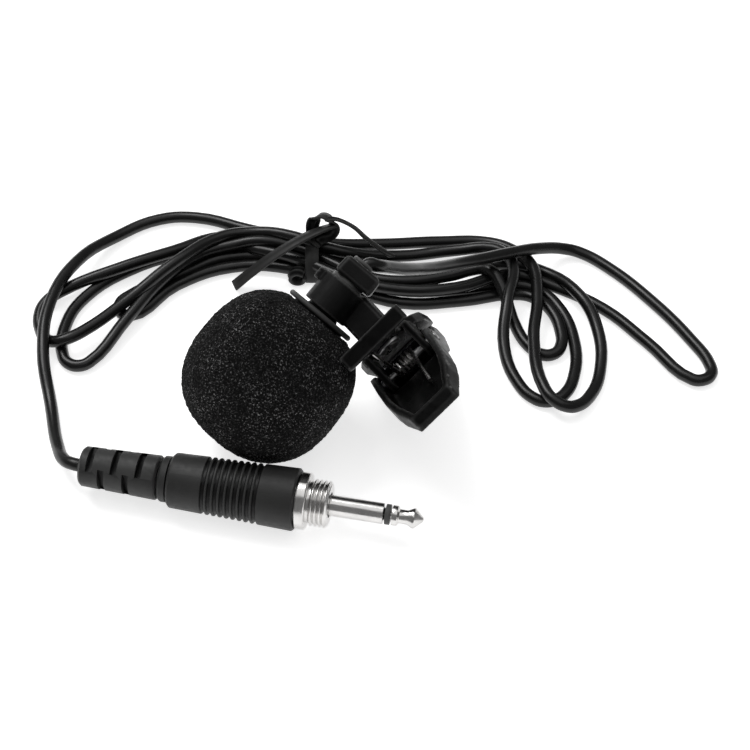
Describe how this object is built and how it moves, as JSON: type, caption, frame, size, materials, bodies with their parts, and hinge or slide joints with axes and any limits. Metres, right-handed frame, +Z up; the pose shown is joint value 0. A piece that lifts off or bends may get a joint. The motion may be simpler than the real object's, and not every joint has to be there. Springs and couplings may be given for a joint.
{
  "type": "lavalier microphone",
  "caption": "Small clip-on microphone with a foam windscreen, a spring tie clip on a swivel ring, a tied-up thin cord and a locking jack plug.",
  "frame": {"origin": "on the surface that everything lies on, at the middle of the microphone, windscreen and clip seen from above", "axes": "+X to the right, the way the plug's tip mostly points; +Y away from the plug, towards the tied cord; +Z up"},
  "size_m": [0.1216, 0.0755, 0.0294],
  "materials": {
    "windscreen_foam": "coarse open-cell foam, matte",
    "moulded_black_plastic": "satin moulded",
    "gloss_black_plastic": "glossy moulded with light edges",
    "black_painted_metal": "black, satin",
    "textured_black_plastic": "fine spark-eroded texture",
    "cord_pvc": "smooth glossy jacket",
    "tie_plastic": "flat plastic-covered wire",
    "capsule_rubber": "matte",
    "dust_cloth_fabric": "woven",
    "insulator_plastic": "off-white",
    "circuit_board": "green laminate",
    "capsule_aluminium": "drawn can",
    "contact_brass": "thin plated disc",
    "wire_copper": "bare copper",
    "plug_nickel": "polished nickel plate",
    "pin_steel": "drawn wire",
    "spring_steel": "bright wire"
  },
  "bodies": {
    "root": {"mic_body": "moulded_black_plastic", "head_cap": "black_painted_metal", "front_grille": "black_painted_metal", "dust_cloth": "dust_cloth_fabric", "capsule_boot": "capsule_rubber", "capsule_can": "capsule_aluminium", "diaphragm": "contact_brass", "backplate": "contact_brass", "capsule_spacer": "insulator_plastic", "capsule_transistor": "moulded_black_plastic", "capsule_board": "circuit_board", "signal_wire": "wire_copper", "ground_wire": "wire_copper", "cable_grommet": "moulded_black_plastic", "cord_lead": "cord_pvc", "hank_bundle": "cord_pvc", "hank_right_loops": "cord_pvc", "hank_left_loops": "cord_pvc", "cord_tail": "cord_pvc", "twist_tie": "tie_plastic", "strain_relief": "textured_black_plastic", "plug_core": "textured_black_plastic", "pin_shaft": "plug_nickel", "pin_insulator": "moulded_black_plastic", "pin_tip": "plug_nickel", "plug_signal_wire": "wire_copper", "plug_ground_wire": "wire_copper"},
    "windscreen": {"windscreen": "windscreen_foam"},
    "holder": {"holder_ring": "moulded_black_plastic", "swivel_screw": "pin_steel"},
    "clip": {"clip_jaw_upper": "gloss_black_plastic", "jaw_pin": "pin_steel", "jaw_spring": "spring_steel"},
    "jaw": {"clip_jaw_lower": "gloss_black_plastic"},
    "lock_sleeve": {"lock_grip": "textured_black_plastic", "lock_bush": "plug_nickel"}
  },
  "joints": [
    {"name": "windscreen_pull", "type": "slide", "parent": "root", "child": "windscreen", "axis": [-0.6427, -0.5869, -0.4924], "range_m": [0, 0.012], "deforming": ["windscreen"]},
    {"name": "holder_turn", "type": "hinge", "parent": "root", "child": "holder", "pos_m": [0.00036, 0.0075, 0.02098], "axis": [0.6427, 0.5869, 0.4924], "range_deg": [-90, 45]},
    {"name": "clip_swivel", "type": "hinge", "parent": "holder", "child": "clip", "pos_m": [0.00985, 0.0046, 0.01855], "axis": [0.6694, -0.6729, -0.3147], "range_deg": [-30, 12]},
    {"name": "jaw_hinge", "type": "hinge", "parent": "clip", "child": "jaw", "pos_m": [0.01452, 0.00231, 0.01432], "axis": [-0.7099, -0.4547, -0.5378], "range_deg": [0, 35], "stiffness_Nm_per_rad": 0.03, "springref_deg": -40.11, "deforming": ["jaw_spring"]},
    {"name": "sleeve_turn", "type": "hinge", "parent": "root", "child": "lock_sleeve", "pos_m": [-0.03924, -0.0123, 0.00525], "axis": [0.9813, -0.1925, 0], "continuous": true}
  ]
}
